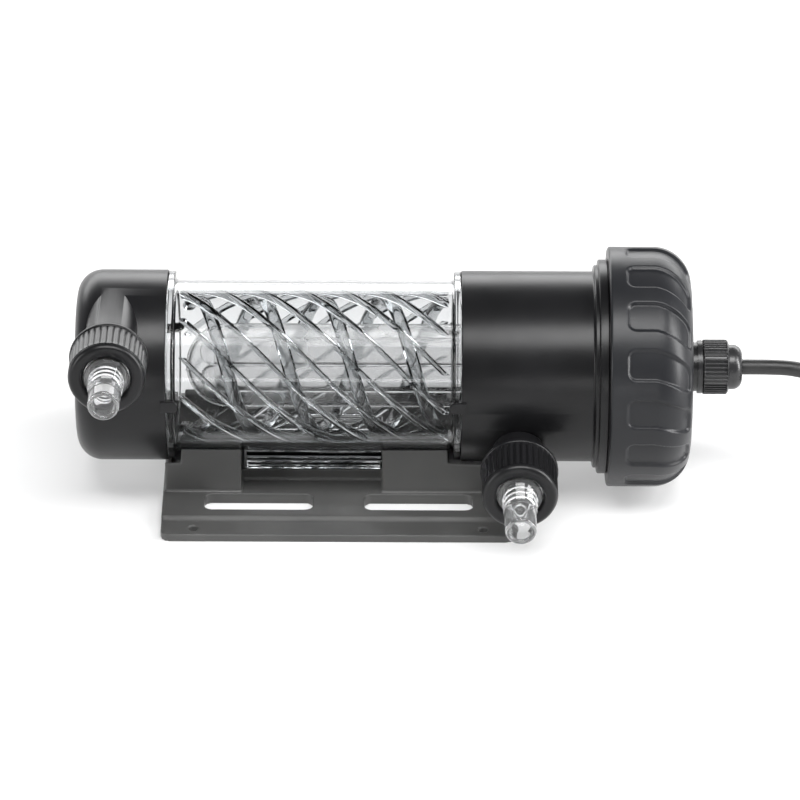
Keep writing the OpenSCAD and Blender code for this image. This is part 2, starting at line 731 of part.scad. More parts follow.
module socket_screws() {
    head_x = socket_x1 - socket_ear_t;
    color([0.75, 0.76, 0.78]) for (sz = [-1, 1]) translate([0, 0, sz * socket_post_z]) {
        disc_x(head_x - 2, head_x, 2.8);
        disc_x(head_x - snug, socket_x1 + 6, 1.48);
    }
}
module ballast_board() {
    color([0.1, 0.35, 0.2]) translate([board_x0, board_y, axis_z - board_half_w])
        cube([cover_floor_x - board_x0, board_t, 2 * board_half_w]);
}
module ballast_parts() {
    color([0.2, 0.2, 0.22]) {
        translate([board_x0 + 8, board_y - 7, axis_z - 8]) cube([13, 7, 16]);
        translate([board_x0 + 4, board_y + board_t, axis_z + 2]) cube([12, 3, 8]);
        translate([board_x0 + 19, board_y + board_t, axis_z - 10]) cube([5, 2.5, 10]);
        for (z = [-12, 12]) {
            translate([board_x0 + 14, board_y, axis_z + z]) rotate([90, 0, 0]) cylinder(h = 8, r = 3);
        }
    }
}
module inner_leads() {
    lead_r = 0.9;
    color([0.7, 0.1, 0.1]) for (sz = [-1, 1]) {
        z = axis_z + sz * 4;
        swept([[cover_floor_x - locknut_t - 1.8, sz * 1.5, axis_z + sz * 1.5],
            [cover_floor_x - 6, 3, axis_z + sz * 2.5],
            [cover_floor_x - 6.6, 8, z], [cover_floor_x - 6.6, 14, z], [cover_floor_x - 6.6, 20, z],
            [cover_floor_x - 6.6, board_y - snug, z]], lead_r, 8);
        swept([[socket_x1 - 4, lamp_base_w / 2 + snug, z + sz * 3], [socket_x1 - 4, 14, z + sz * 4],
            [socket_x1 - 3.5, 19, z + sz * 5], [socket_x1 - 3, board_y - snug, z + sz * 5]], lead_r, 8);
    }
}

// Mains cable, stored coil, tie and plug
module power_cable() {
    color([0.12, 0.12, 0.12]) swept(cable_route, cable_r, 12);
}
tie_t = 0.9;
tie_w = 5;
module tie_outline(t) {
    translate([coil_in_r - t, 0]) square([coil_out_r - coil_in_r + 2 * t, coil_h + t]);
}
module at_tie() {
    translate([coil_x - tie_w / 2, coil_y, 0]) rotate([90, 0, 90]) linear_extrude(tie_w) children();
}
module cable_coil() {
    color([0.12, 0.12, 0.12]) difference() {
        translate([coil_x, coil_y, 0]) rotate_extrude()
            translate([coil_in_r, 0]) square([coil_out_r - coil_in_r, coil_h]);
        at_tie() translate([coil_in_r - cut, -cut]) square([coil_out_r - coil_in_r + 2 * cut, cut + tie_t]);
    }
}
module coil_tie() {
    color([0.2, 0.2, 0.2]) at_tie() difference() {
        tie_outline(tie_t + snug);
        translate([coil_in_r - snug, tie_t])
            square([coil_out_r - coil_in_r + 2 * snug, coil_h - tie_t + snug]);
    }
}
plug_x = 290;
plug_z = coil_h + 13.7 / 2;
plug_lead_route = [[260, 0, 9.75], [270.7, 1.4, 10.4], [279.5, 6, 12.2], [285.3, 12, 14.8], [288.6, 18, 17.4],
    [289.8, 23.5, 19.2], [290, 28, 19.85], [290, 36, 19.85]];
module plug_lead() {
    color([0.12, 0.12, 0.12]) swept(plug_lead_route, cable_r, 12);
}
plug_y0 = 38;
plug_y1 = 74;
plug_t = 13.7;
module mains_plug() {
    relief_y = 28;
    color([0.12, 0.12, 0.12]) {
        translate([plug_x, 0, plug_z - plug_t / 2]) linear_extrude(plug_t)
            polygon([[-6.5, plug_y0], [6.5, plug_y0], [11, plug_y0 + 6], [17.6, plug_y1 - 12],
                [17.6, plug_y1], [-17.6, plug_y1], [-17.6, plug_y1 - 12], [-11, plug_y0 + 6]]);
        difference() {
            translate([plug_x, relief_y, plug_z]) rotate([-90, 0, 0])
                cylinder(h = plug_y0 - relief_y + snug, r1 = 4.4, r2 = 6.2);
            translate([plug_x, relief_y - cut, plug_z]) rotate([-90, 0, 0])
                cylinder(h = 36 - relief_y + cut + snug, r = cable_r + 0.02);
        }
    }
}
module plug_pins() {
    color([0.75, 0.76, 0.78]) for (sx = [-1, 1]) {
        translate([plug_x + sx * 9.3, plug_y1, plug_z]) rotate([-90, 0, 0]) {
            cylinder(h = 17, r = 2);
            translate([0, 0, 17]) sphere(r = 2);
        }
    }
}

mounting_bracket();
clear_housing();
long_ribs();
short_ribs();
inlet_end_cap();
inlet_cap_seal();
outlet_housing();
outlet_housing_seal();
inlet_seal();
outlet_seal();
main_seal();
quartz_sleeve();
sleeve_seal();
sleeve_nut();
end_cover();
gland_body();
gland_locknut();
gland_insert();
gland_nut();
locking_ring();
inlet_hose_tail();
inlet_union_nut();
outlet_hose_tail();
outlet_union_nut();
lamp_socket();
socket_screws();
uv_lamp_tubes();
uv_lamp_base();
lamp_pins();
ballast_board();
ballast_parts();
inner_leads();
power_cable();
cable_coil();
coil_tie();
plug_lead();
mains_plug();
plug_pins();
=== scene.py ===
import json
import math

import bmesh
import bpy
from mathutils import Matrix, Quaternion, Vector


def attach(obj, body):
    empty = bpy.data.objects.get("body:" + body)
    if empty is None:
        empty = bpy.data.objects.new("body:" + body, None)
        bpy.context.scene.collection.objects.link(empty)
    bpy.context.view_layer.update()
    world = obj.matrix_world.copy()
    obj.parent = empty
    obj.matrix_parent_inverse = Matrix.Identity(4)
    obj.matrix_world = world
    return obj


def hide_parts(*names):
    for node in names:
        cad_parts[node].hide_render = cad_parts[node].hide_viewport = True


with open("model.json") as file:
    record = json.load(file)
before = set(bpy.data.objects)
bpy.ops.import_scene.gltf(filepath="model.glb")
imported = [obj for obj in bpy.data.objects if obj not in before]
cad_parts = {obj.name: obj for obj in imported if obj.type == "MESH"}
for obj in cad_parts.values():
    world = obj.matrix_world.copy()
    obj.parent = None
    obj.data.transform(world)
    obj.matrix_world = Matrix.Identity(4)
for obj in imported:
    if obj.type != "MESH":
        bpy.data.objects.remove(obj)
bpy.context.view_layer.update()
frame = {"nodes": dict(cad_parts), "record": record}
MM = 0.001
TAU = 2 * math.pi
AXIS_Z = 0.052  # height of the tube's axis, in metres

# Outlines and sizes below are in millimetres. The camera, lights and floor are in metres.


# ---------------------------------------------------------------- camera
LENS, SENSOR = 247, 36
ELEVATION = math.radians(30)
DISTANCE = 2.31
AIM = Vector((0.0256, -0.00725, 0.0394))
ROLL = math.radians(0.25)


def make_camera():
    """A long lens at the front, 30 degrees above the floor."""
    data = bpy.data.cameras.new("camera")
    data.lens = LENS
    data.sensor_width = SENSOR
    data.clip_end = 50
    camera = bpy.data.objects.new("camera", data)
    back = Vector((0, -math.cos(ELEVATION), math.sin(ELEVATION)))
    camera.location = AIM + back * DISTANCE
    camera.rotation_mode = "QUATERNION"
    level = (-back).to_track_quat("-Z", "Y")
    camera.rotation_quaternion = level @ Quaternion((0, 0, 1), ROLL)
    bpy.context.collection.objects.link(camera)
    bpy.context.scene.camera = camera


make_camera()


# ---------------------------------------------------------------- node helpers
def new_material(name):
    material = bpy.data.materials.new(name)
    material.use_nodes = True
    tree = material.node_tree
    return material, tree, tree.nodes["Principled BSDF"]


def add_node(tree, kind, operation=None):
    node = tree.nodes.new(kind)
    if operation:
        node.operation = operation
    return node


def noise_node(tree, scale, detail=4.0, rough=0.5):
    """Noise that stays with the piece, because it follows object coordinates."""
    coord = add_node(tree, "ShaderNodeTexCoord")
    tex = add_node(tree, "ShaderNodeTexNoise")
    tex.inputs["Scale"].default_value = scale
    tex.inputs["Detail"].default_value = detail
    tex.inputs["Roughness"].default_value = rough
    tree.links.new(coord.outputs["Object"], tex.inputs["Vector"])
    return tex


def ramp(tree, source, low, high, a=0.35, b=0.65):
    """Maps a texture's value to the range low to high, as a number or a colour."""
    node = add_node(tree, "ShaderNodeValToRGB")
    colour = (lambda v: (*v, 1) if hasattr(v, "__len__") else (v, v, v, 1))
    node.color_ramp.elements[0].position = a
    node.color_ramp.elements[1].position = b
    node.color_ramp.elements[0].color = colour(low)
    node.color_ramp.elements[1].color = colour(high)
    tree.links.new(source, node.inputs["Fac"])
    return node.outputs["Color"]


def bump(tree, shader, height, strength, distance):
    """Raises the shader's surface by a texture, up to distance in metres."""
    node = add_node(tree, "ShaderNodeBump")
    node.inputs["Strength"].default_value = strength
    node.inputs["Distance"].default_value = distance
    tree.links.new(height, node.inputs["Height"])
    tree.links.new(node.outputs["Normal"], shader.inputs["Normal"])


# ---------------------------------------------------------------- materials
def moulded_plastic(name, dark, light, rough, grain=0.00006, grain_scale=2600, gloss=0.5):
    """Black moulded plastic: faint colour drift, satin gloss that varies, and a fine mould grain."""
    material, tree, shader = new_material(name)
    drift = noise_node(tree, 22, 3)
    tree.links.new(ramp(tree, drift.outputs["Fac"], dark, light), shader.inputs["Base Color"])
    smear = noise_node(tree, 60, 5, 0.6)
    tree.links.new(ramp(tree, smear.outputs["Fac"], rough - 0.02, rough + 0.03), shader.inputs["Roughness"])
    fine = noise_node(tree, grain_scale, 2)
    bump(tree, shader, fine.outputs["Fac"], 0.35, grain)
    shader.inputs["Specular IOR Level"].default_value = gloss
    return material


ABSORBED = (0.02, 0.05, 0.06, 1)


def clear_plastic(name, tint, rough=0.015, ior=1.49, wave=0.00012, clarity=1.0, reflect=1.0, absorb=0):
    """Clear moulded plastic: slight flow waves in its surface, and grey where light crosses more of it."""
    material, tree, shader = new_material(name)
    drift = noise_node(tree, 30, 2)
    low = tuple(c * 0.985 for c in tint)
    tree.links.new(ramp(tree, drift.outputs["Fac"], low, tint), shader.inputs["Base Color"])
    tree.links.new(ramp(tree, drift.outputs["Fac"], rough * 0.6, rough * 1.6), shader.inputs["Roughness"])
    flow = noise_node(tree, 90, 2, 0.4)
    bump(tree, shader, flow.outputs["Fac"], 0.25, wave)
    shader.inputs["Transmission Weight"].default_value = clarity
    shader.inputs["IOR"].default_value = ior
    shader.inputs["Specular Tint"].default_value = (reflect, reflect, reflect, 1)
    if absorb:
        depth = add_node(tree, "ShaderNodeVolumeAbsorption")
        depth.inputs["Color"].default_value = ABSORBED
        depth.inputs["Density"].default_value = absorb
        tree.links.new(depth.outputs["Volume"], tree.nodes["Material Output"].inputs["Volume"])
    return material


def rubber(name, dark, light, rough=0.5):
    """Soft black rubber or cable sheath, nearly matt, with a fine grain."""
    material, tree, shader = new_material(name)
    drift = noise_node(tree, 120, 4)
    tree.links.new(ramp(tree, drift.outputs["Fac"], dark, light), shader.inputs["Base Color"])
    tree.links.new(ramp(tree, drift.outputs["Fac"], rough - 0.06, rough + 0.08), shader.inputs["Roughness"])
    fine = noise_node(tree, 3000, 2)
    bump(tree, shader, fine.outputs["Fac"], 0.3, 0.00005)
    return material


def metal(name, colour, rough=0.28):
    """Plated metal with smears in its gloss."""
    material, tree, shader = new_material(name)
    smear = noise_node(tree, 400, 4)
    low = tuple(c * 0.85 for c in colour)
    tree.links.new(ramp(tree, smear.outputs["Fac"], low, colour), shader.inputs["Base Color"])
    tree.links.new(ramp(tree, smear.outputs["Fac"], rough - 0.08, rough + 0.1), shader.inputs["Roughness"])
    shader.inputs["Metallic"].default_value = 1.0
    return material


MAT = {
    "bracket": moulded_plastic("bracket_plastic", (0.062, 0.062, 0.061), (0.080, 0.080, 0.078), 0.40),
    "housing": moulded_plastic("housing_plastic", (0.0065, 0.0065, 0.007), (0.009, 0.009, 0.010), 0.30,
                               gloss=0.3),
    "ring": moulded_plastic("ring_plastic", (0.014, 0.0145, 0.0165), (0.018, 0.0185, 0.021), 0.33,
                            gloss=0.3),
    "gland": moulded_plastic("gland_plastic", (0.018, 0.018, 0.019), (0.024, 0.024, 0.025), 0.28),
    "clear": clear_plastic("clear_plastic", (0.90, 0.905, 0.91), wave=0.00001, reflect=0.24,
                           absorb=24),
    "ribs": clear_plastic("clear_ribs", (0.93, 0.94, 0.945), 0.01, 1.36, 0.00008, reflect=0.6,
                          absorb=110),
    "tail": clear_plastic("clear_tail", (0.97, 0.975, 0.98), 0.015, 1.49, 0.00004, 0.95),
    "quartz": clear_plastic("quartz_glass", (0.90, 0.90, 0.90), 0.20, 1.08, 0.00002),
    "lamp": clear_plastic("lamp_glass", (0.90, 0.90, 0.90), 0.12, 1.08, 0.00004),
    "seal": rubber("seal_rubber", (0.02, 0.02, 0.02), (0.035, 0.035, 0.035)),
    "cable": rubber("cable_rubber", (0.012, 0.012, 0.012), (0.02, 0.02, 0.02), 0.42),
    "white": moulded_plastic("white_plastic", (0.72, 0.72, 0.69), (0.8, 0.8, 0.77), 0.35),
    "metal": metal("plated_metal", (0.72, 0.72, 0.74)),
    "board": moulded_plastic("circuit_board", (0.01, 0.10, 0.04), (0.02, 0.16, 0.07), 0.3),
    "lead": moulded_plastic("lead_plastic", (0.35, 0.02, 0.02), (0.45, 0.03, 0.03), 0.35),
}

SLOT_LOOKS = {
    "bracket_plastic": "bracket", "housing_plastic": "housing", "ring_plastic": "ring",
    "gland_plastic": "gland", "clear_plastic": "clear", "clear_ribs": "ribs", "quartz": "quartz",
    "lamp_glass": "lamp", "seal_rubber": "seal", "white_plastic": "white", "metal": "metal",
    "board": "board", "board_parts": "gland", "lead_plastic": "lead", "cable_rubber": "cable",
}


SLOTS = {row["node"]: row["material_slot"] for row in frame["record"]["subparts"]}


def dress_cad_nodes():
    """Gives each CAD node the look of its slot in the record."""
    for name, node in frame["nodes"].items():
        node.data.materials.clear()
        node.data.materials.append(MAT[SLOT_LOOKS[SLOTS[name]]])


dress_cad_nodes()


# ---------------------------------------------------------------- mesh helpers
def plain_object(name, bm):
    """Turns a bmesh into an object with no look and no body yet."""
    bmesh.ops.recalc_face_normals(bm, faces=bm.faces[:])
    mesh = bpy.data.meshes.new(name)
    bm.to_mesh(mesh)
    bm.free()
    piece = bpy.data.objects.new(name, mesh)
    bpy.context.collection.objects.link(piece)
    return piece


def shade(piece, look, smooth_angle=None):
    """Gives a piece its look, smooth all over or with edges above the angle left sharp."""
    mesh = piece.data
    for polygon in mesh.polygons:
        polygon.use_smooth = True
    if smooth_angle is not None:
        mesh.set_sharp_from_angle(angle=math.radians(smooth_angle))
    mesh.materials.clear()
    mesh.materials.append(MAT[look])


def finish_mesh(name, bm, look, body, smooth_angle=40):
    """Turns a bmesh into a piece that rides on a body."""
    piece = plain_object(name, bm)
    shade(piece, look, smooth_angle)
    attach(piece, body)
    return piece


def stands_for(piece, *nodes):
    """Hides the CAD nodes that the piece stands in for."""
    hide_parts(*nodes)


# Frame of the tube: Z of the outline runs along +X. Frame of a hose connection: Z points out.
TUBE = Matrix.Translation((0, 0, AXIS_Z)) @ Matrix.Rotation(math.pi / 2, 4, "Y")


def port_frame(x, off, tilt):
    """Frame of a hose connection at x, off the axis by off, both in metres, and tilted in degrees."""
    turn = Matrix.Rotation(math.pi / 2 - math.radians(tilt), 4, "X")
    return Matrix.Translation((x, 0, AXIS_Z)) @ turn @ Matrix.Translation((0, off, 0))


def rounded(outline, radii, steps=5):
    """Rounds an outline's corners: radii maps a corner's number to its radius."""
    points = []
    count = len(outline)
    for i, corner in enumerate(outline):
        radius = radii.get(i, 0)
        here = Vector(corner)
        if not radius:
            points.append(here)
            continue
        back = (Vector(outline[i - 1]) - here).normalized()
        ahead = (Vector(outline[(i + 1) % count]) - here).normalized()
        half = back.angle(ahead) / 2
        reach = radius / math.tan(half)
        centre = here + (back + ahead).normalized() * (radius / math.sin(half))
        start = here + back * reach - centre
        end = here + ahead * reach - centre
        sweep = start.angle_signed(end)
        for k in range(steps + 1):
            a = -sweep * k / steps
            c, s = math.cos(a), math.sin(a)
            points.append(centre + Vector((start.x * c - start.y * s, start.x * s + start.y * c)))
    return points


def skin(bm, rings, closed):
    """Faces between neighbouring rings: closed joins the last to the first, else both ends are capped."""
    pairs = list(zip(rings, rings[1:]))
    if closed:
        pairs.append((rings[-1], rings[0]))
    for low, high in pairs:
        count = len(low)
        for k in range(count):
            n = (k + 1) % count
            bm.faces.new((low[k], low[n], high[n], high[k]))
    if not closed:
        bm.faces.new(rings[0][::-1])
        bm.faces.new(rings[-1])


def polar(radius, angle, z):
    return Vector((radius * math.cos(angle), radius * math.sin(angle), z)) * MM


def lathe(bm, outline, place, segments=128, shape=None):
    """Turns a closed outline of (radius, z) about place's Z. shape may move each point by its angle."""
    rings = []
    for radius, z in outline:
        ring = []
        for k in range(segments):
            angle = TAU * k / segments
            r, lift = (radius, z) if shape is None else shape(radius, z, angle)
            ring.append(bm.verts.new(place @ polar(r, angle, lift)))
        rings.append(ring)
    skin(bm, rings, True)


def lathed(name, outline, place, look, body, nodes, segments=128, shape=None, smooth_angle=40):
    """A turned piece that rides on a body and stands for CAD nodes."""
    bm = bmesh.new()
    lathe(bm, outline, place, segments, shape)
    bmesh.ops.remove_doubles(bm, verts=bm.verts[:], dist=1e-7)
    piece = finish_mesh(name, bm, look, body, smooth_angle)
    stands_for(piece, *nodes)
    return piece


# ---------------------------------------------------------------- mains cable, coil and plug
CABLE_R = 3.25
ROUTE = [(152, 0, 52), (160, 0, 52), (170, 0, 52), (180, 0, 52), (188, 0, 51.8), (195, 0, 50.6),
         (201, 0, 48), (206, 0, 44.4), (210, 0, 40), (213, 0, 35), (215, 0, 29.5), (217, 0, 24),
         (219, 0, 18.8), (222, 0, 13.6), (226, 0, 9.3), (231, 0, 6), (237, 0, 4.1), (244, 0, 3.3),
         (252, 0, 3.25), (260, 0, 3.25)]
PLUG_LEAD = [(260, 0, 9.75), (270.7, 1.4, 10.4), (279.5, 6, 12.2), (285.3, 12, 14.8), (288.6, 18, 17.4),
             (289.8, 23.5, 19.2), (290, 28, 19.85), (290, 36, 19.85)]
COIL_X, COIL_Y = 260, 42.25
COIL_RADII = (42.25, 35.75, 29.25)
COIL_STEPS = 30
COIL_Z = (3.25, 9.75)


def coil_turns():
    """Six turns, counter-clockwise from the front: three inwards on the floor, three outwards on top."""
    def ease(t):
        t = min(max(t, 0), 1)
        return t * t * (3 - 2 * t)

    outer, middle, inner = COIL_RADII
    low, high = COIL_Z
    plan = [(outer, middle, 0.83, low, low), (middle, inner, 0.83, low, low),
            (inner, inner, 0.83, low, high), (inner, middle, 0.5, high, high),
            (middle, outer, 0.5, high, high), (outer, outer, 0.5, high, high)]
    points = []
    for r0, r1, start, z0, z1 in plan:
        for k in range(COIL_STEPS):
            t = k / COIL_STEPS
            radius = r0 + (r1 - r0) * ease((t - start) / 0.17)
            z = z0 + (z1 - z0) * ease((t - 0.6) / 0.3)
            angle = TAU * t - math.pi / 2
            points.append((COIL_X + radius * math.cos(angle), COIL_Y + radius * math.sin(angle), z))
    return points


def make_cord():
    """The whole lead as one curve, and the length of its route in metres."""
    points = ROUTE[:-1] + coil_turns() + PLUG_LEAD
    data = bpy.data.curves.new("mains_cable", "CURVE")
    data.dimensions = "3D"
    data.bevel_depth = CABLE_R * MM
    data.bevel_resolution = 5
    data.resolution_u = 4
    data.use_fill_caps = True
    spline = data.splines.new("NURBS")
    spline.points.add(len(points) - 1)
    for item, p in zip(spline.points, points):
        item.co = (p[0] * MM, p[1] * MM, p[2] * MM, 1)
    spline.order_u = 4
    spline.use_endpoint_u = True
    data.materials.append(MAT["cable"])
    cable = bpy.data.objects.new("mains_cable", data)
    bpy.context.collection.objects.link(cable)
    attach(cable, "lamp_unit")
    stands_for(cable, "power_cable", "cable_coil", "plug_lead")
    length = sum((Vector(b) - Vector(a)).length for a, b in zip(points, points[1:])) * MM
    return cable, length


def rounded_block(bm, outline, z0, z1, edge):
    """A prism over an outline in mm, with rounded top and bottom edges."""
    rings = []
    middle = Vector((sum(p[0] for p in outline), sum(p[1] for p in outline))) / len(outline)
    levels = []
    for k in range(5):
        a = math.pi / 2 * k / 4
        levels.append((z0 + edge * (1 - math.sin(a)), edge * (1 - math.cos(a))))
    levels = levels[::-1] + [(z0 + z1 - z, inset) for z, inset in levels]
    levels = sorted(set(levels))
    for z, inset in levels:
        ring = []
        for i, p in enumerate(outline):
            before = Vector(outline[i - 1])
            after = Vector(outline[(i + 1) % len(outline)])
            along = (after - before).normalized()
            out = Vector((along.y, -along.x))
            if out.dot(Vector(p) - middle) < 0:
                out = -out
            q = Vector(p) - out * inset
            ring.append(bm.verts.new(Vector((q.x, q.y, z)) * MM))
        rings.append(ring)
    skin(bm, rings, False)


PLUG_X, PLUG_Z, PLUG_T = 290, 19.85, 13.7
PLUG_Y0, PLUG_Y1, RELIEF_Y = 38, 74, 28


def make_plug():
    """The plug's body with a ribbed strain relief. Its pins stay the CAD node."""
    outline = [(-6.5, PLUG_Y0), (6.5, PLUG_Y0), (11, PLUG_Y0 + 6), (17.6, PLUG_Y1 - 12),
               (17.6, PLUG_Y1), (-17.6, PLUG_Y1), (-17.6, PLUG_Y1 - 12), (-11, PLUG_Y0 + 6)]
    curved = rounded(outline, {0: 2, 1: 2, 2: 5, 3: 8, 4: 3, 5: 3, 6: 8, 7: 5})
    bm = bmesh.new()
    rounded_block(bm, [(p.x + PLUG_X, p.y) for p in curved], PLUG_Z - PLUG_T / 2, PLUG_Z + PLUG_T / 2, 2.4)
    relief = [(CABLE_R + 0.05, RELIEF_Y), (4.4, RELIEF_Y)]
    for k in range(5):
        y = RELIEF_Y + 1.6 + k * 1.8
        r = 4.4 + 1.8 * (y - RELIEF_Y) / (PLUG_Y0 - RELIEF_Y)
        relief += [(r, y - 0.5), (r - 0.7, y - 0.3), (r - 0.7, y + 0.3), (r + 0.1, y + 0.5)]
    relief += [(6.2, PLUG_Y0 + 1), (CABLE_R + 0.05, PLUG_Y0 + 1)]
    place = Matrix.Translation((PLUG_X * MM, 0, PLUG_Z * MM)) @ Matrix.Rotation(-math.pi / 2, 4, "X")
    lathe(bm, relief, place, 32)
    plug = finish_mesh("mains_plug_body", bm, "cable", "lamp_unit")
    stands_for(plug, "mains_plug")
    return plug


def make_coil_tie():
    """A hook-and-loop strap round the coil, with rounded corners."""
    inner, outer, top = COIL_RADII[2] - CABLE_R, COIL_RADII[0] + CABLE_R, 4 * CABLE_R
    near, far = inner - 0.5, outer + 0.5
    path = rounded([(near, 0.45), (far, 0.45), (far, top + 0.5), (near, top + 0.5)],
                   {0: 2, 1: 2, 2: 2.6, 3: 2.6})
    bm = bmesh.new()
    half = 2.5
    rings = []
    count = len(path)
    for i, p in enumerate(path):
        along = (path[(i + 1) % count] - path[i - 1]).normalized()
        out = Vector((along.y, -along.x))
        corners = [(-half, -0.45), (half, -0.45), (half, 0.45), (-half, 0.45)]
        rings.append([bm.verts.new(Vector((COIL_X + x, COIL_Y + p.x + out.x * t, p.y + out.y * t)) * MM)
                      for x, t in corners])
    skin(bm, rings, True)
    tie = finish_mesh("coil_strap", bm, "cable", "lamp_unit")
    stands_for(tie, "coil_tie")
    return tie


CORD, CORD_LENGTH = make_cord()
PLUG = make_plug()
STRAP = make_coil_tie()


# ---------------------------------------------------------------- clear chamber
TUBE_X0, TUBE_X1, TUBE_R, TUBE_BORE = -68.55, 47.95, 36, 33
FLANGE_R, FLANGE_T = 39.6, 3.2
RAIL_X0, RAIL_X1, RAIL_HALF, RAIL_Z = -38.9, 17.8, 14.7, 9.8
TONGUE_HALF, TONGUE_TOP = 5.3, 13.1


def boolean(piece, other, operation):
    """Applies a boolean with another object, which is then removed."""
    modifier = piece.modifiers.new(operation.lower(), "BOOLEAN")
    modifier.operation = operation
    modifier.object = other
    modifier.solver = "EXACT"
    bpy.context.view_layer.update()
    graph = bpy.context.evaluated_depsgraph_get()
    mesh = bpy.data.meshes.new_from_object(piece.evaluated_get(graph))
    piece.modifiers.clear()
    piece.data = mesh
    bpy.data.objects.remove(other)


def prism_x(bm, outline, x0, x1):
    """A bar along X with an outline of (y, z)."""
    ends = [[bm.verts.new(Vector((x, y, z)) * MM) for y, z in outline] for x in (x0, x1)]
    skin(bm, ends, False)


def rail_outline():
    """Half of the rail's section with three grooves, then mirrored."""
    half = [(TONGUE_HALF, TONGUE_TOP), (TONGUE_HALF, RAIL_Z), (RAIL_HALF - 0.4, RAIL_Z),
            (RAIL_HALF, RAIL_Z + 0.4)]
    for i in range(3):
        z = RAIL_Z + 1.4 + 2 * i
        half += [(RAIL_HALF, z), (RAIL_HALF - 1, z + 0.15), (RAIL_HALF - 1, z + 0.65), (RAIL_HALF, z + 0.8)]
    half += [(RAIL_HALF, RAIL_Z + 8.5)]
    return half + [(-y, z) for y, z in reversed(half)]


def make_chamber():
    """The clear tube with its flanges, joined to the grooved rail under it."""
    x0, x1 = TUBE_X0 - FLANGE_T, TUBE_X1 + FLANGE_T
    wall = [(TUBE_BORE, x0), (FLANGE_R, x0), (FLANGE_R, TUBE_X0), (TUBE_R, TUBE_X0), (TUBE_R, TUBE_X1),
            (FLANGE_R, TUBE_X1), (FLANGE_R, x1), (TUBE_BORE, x1)]
    soft = rounded(wall, {0: 0.4, 1: 0.7, 2: 0.7, 3: 0.8, 4: 0.8, 5: 0.7, 6: 0.7, 7: 0.4})
    bm = bmesh.new()
    lathe(bm, soft, TUBE, 180)
    piece = plain_object("clear_chamber", bm)
    bm = bmesh.new()
    prism_x(bm, rail_outline(), RAIL_X0, RAIL_X1)
    rail = plain_object("rail_blank", bm)
    bm = bmesh.new()
    lathe(bm, [(0.01, x0), (TUBE_R - 1.2, x0), (TUBE_R - 1.2, x1), (0.01, x1)], TUBE, 180)
    boolean(rail, plain_object("rail_cutter", bm), "DIFFERENCE")
    boolean(piece, rail, "UNION")
    shade(piece, "clear", 25)
    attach(piece, "clarifier")
    stands_for(piece, "clear_housing")


RIB_END = 1.6
RIB_SQUARE = 0.6


def helix_ribs(name, node, count, lead, top_x, r0, r1, half_w, steps, belly=0.0):
    """Spiral ribs with a rounded section; belly thickens them towards the outside."""
    bm = bmesh.new()
    middle, depth = (r0 + r1) / 2, (r1 - r0) / 2
    section = []
    sides = 12
    for k in range(sides):
        a = TAU * k / sides
        across, out = math.cos(a), math.sin(a)
        section.append((half_w * math.copysign(abs(across) ** RIB_SQUARE, across) * (1 + belly * out),
                        depth * math.copysign(abs(out) ** RIB_SQUARE, out)))
    x0, x1 = TUBE_X0 + RIB_END + half_w * 1.2, TUBE_X1 - RIB_END - half_w * 1.2
    for i in range(count):
        top = top_x + i * lead / count
        rings = []
        for step in range(steps + 1):
            x = x0 + (x1 - x0) * step / steps
            a = math.pi / 2 + TAU * (x - top) / lead
            ring = []
            for wide, deep in section:
                y = (middle + deep) * math.cos(a)
                z = AXIS_Z / MM + (middle + deep) * math.sin(a)
                ring.append(bm.verts.new(Vector((x + wide, y, z)) * MM))
            rings.append(ring)
        skin(bm, rings, False)
    piece = finish_mesh(name, bm, "ribs", "clarifier", 70)
    stands_for(piece, node)


make_chamber()
LONG_LEAD, LONG_COUNT, LONG_TOP = 206, 12, -62.6
SHORT_LEAD, SHORT_COUNT, SHORT_TOP = 52.4, 2, -56
helix_ribs("long_spiral_ribs", "long_ribs", LONG_COUNT, LONG_LEAD, LONG_TOP, 29.4, 32.7, 1.5, 60, 0.25)
helix_ribs("short_spiral_ribs", "short_ribs", SHORT_COUNT, SHORT_LEAD, SHORT_TOP, 25.4, 29.1, 2.7, 120, 0.3)


# ---------------------------------------------------------------- locking ring
RING_X0, RING_X1, RING_R = 112.45, 147.15, 50.4
RING_ARC_R, RING_ARC_MID, RING_ARC_X = 14, 36.4, 131.75
PADS, PAD_HALF_W, PAD_START, PAD_DEPTH, PAD_CORNER = 15, 6.4, 7.2, 1.15, 3.4
RING_FACE_R, RING_HOLE_R, RING_SEAT_X = 36.2, 26.6, 142.6
RING_STEP_R, RING_STEP_X, RING_BORE = 40.5, 133.75, 44.7
FLAT_STEPS, ARC_STEPS, PAD_SEGMENTS = 38, 40, 40
ARC_SWEEP, ARC_STRETCH = math.radians(86), 1.4
FLAT_END = RING_ARC_X - RING_X0
PAD_END = FLAT_END + RING_ARC_R * math.radians(70)
SWIRL = math.radians(9.5)


def smooth_step(t):
    t = min(max(t, 0.0), 1.0)
    return t * t * (3 - 2 * t)


def ring_outside():
    """Points of (radius, x, distance along the outside), from the open edge round to the end face."""
    points = [(RING_R - 0.9, RING_X0, 0), (RING_R - 0.3, RING_X0 + 0.25, 0.5), (RING_R, RING_X0 + 0.9, 1)]
    for k in range(1, FLAT_STEPS + 1):
        x = RING_X0 + 0.9 + (RING_ARC_X - RING_X0 - 0.9) * k / FLAT_STEPS
        points.append((RING_R, x, x - RING_X0))
    for k in range(1, ARC_STEPS + 1):
        a = ARC_SWEEP * k / ARC_STEPS
        radius = RING_ARC_MID + RING_ARC_R * math.cos(a)
        x = RING_ARC_X + RING_ARC_R * math.sin(a) + ARC_STRETCH * k / ARC_STEPS
        points.append((radius, x, FLAT_END + RING_ARC_R * a))
    return points


